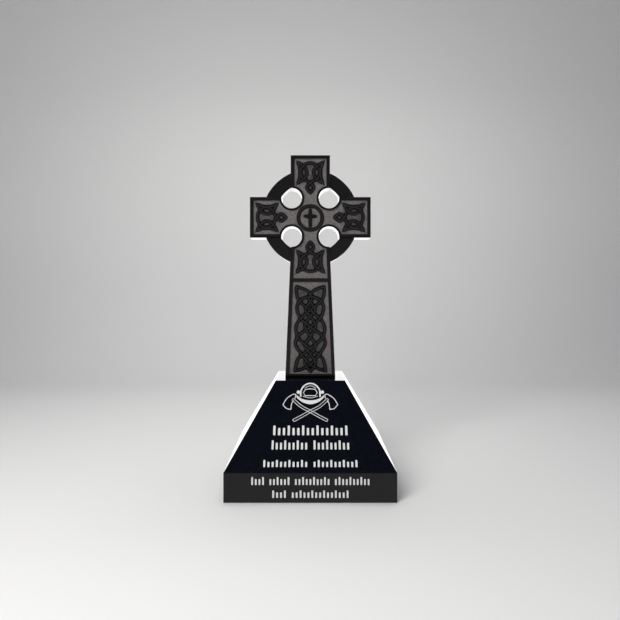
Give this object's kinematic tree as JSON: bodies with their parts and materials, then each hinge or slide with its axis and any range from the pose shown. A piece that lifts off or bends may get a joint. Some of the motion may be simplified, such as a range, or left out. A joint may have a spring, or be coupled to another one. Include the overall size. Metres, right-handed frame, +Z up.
{
  "type": "celtic cross headstone",
  "caption": "Ringed stone cross with carved interlace panels, round holes beside its middle and a raised border, standing on a tapered square base.",
  "frame": {"origin": "middle of the base's underside, on the ground", "axes": "+Z up the cross, -Y out of the carved front, +X to the right as one faces the front"},
  "size_m": [0.61, 0.61, 1.273],
  "materials": {
    "cross_granite": null,
    "base_granite": null
  },
  "bodies": {
    "root": {"celtic_cross": "cross_granite", "tapered_base": "base_granite"}
  },
  "joints": []
}
